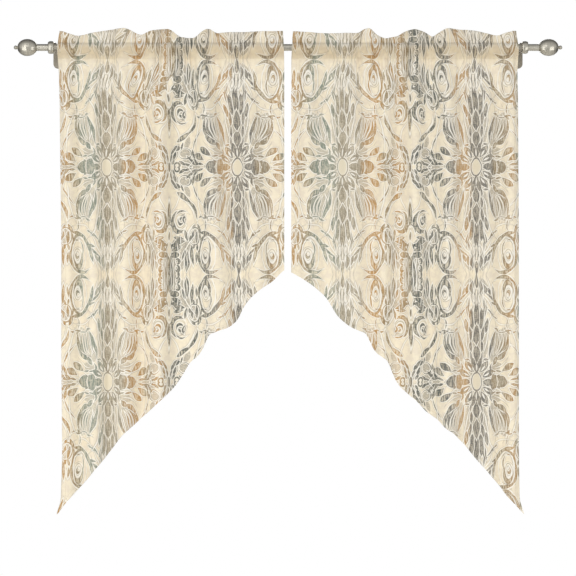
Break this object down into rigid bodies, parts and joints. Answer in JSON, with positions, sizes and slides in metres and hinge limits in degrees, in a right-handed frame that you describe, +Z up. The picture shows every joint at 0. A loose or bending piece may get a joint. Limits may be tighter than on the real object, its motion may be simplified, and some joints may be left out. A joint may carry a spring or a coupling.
{
  "type": "swag and tail drapes on a curtain rod",
  "caption": "Rod-pocket swag drapes with long pointed tails, hanging in soft folds from a plain metal curtain rod with egg-shaped finials and wall brackets.",
  "frame": {"origin": "on the wall plane, at the height of the rod's centre line, midway between the two wall brackets", "axes": "+X along the rod to the right seen from the room, +Y into the wall, +Z up"},
  "size_m": [1.2876, 0.09, 1.1418],
  "materials": {
    "printed_cloth": "matt polyester cloth printed with a cream, ochre, taupe and slate damask",
    "brushed_nickel": "satin nickel plate on steel",
    "bracket_nickel": "darker satin nickel plate on cast metal"
  },
  "bodies": {
    "root": {"left_drape": "printed_cloth", "right_drape": "printed_cloth", "rod": "brushed_nickel", "collar_left": "brushed_nickel", "collar_right": "brushed_nickel", "finial_left": "brushed_nickel", "finial_right": "brushed_nickel", "bracket_left": "bracket_nickel", "bracket_right": "bracket_nickel"}
  },
  "joints": []
}
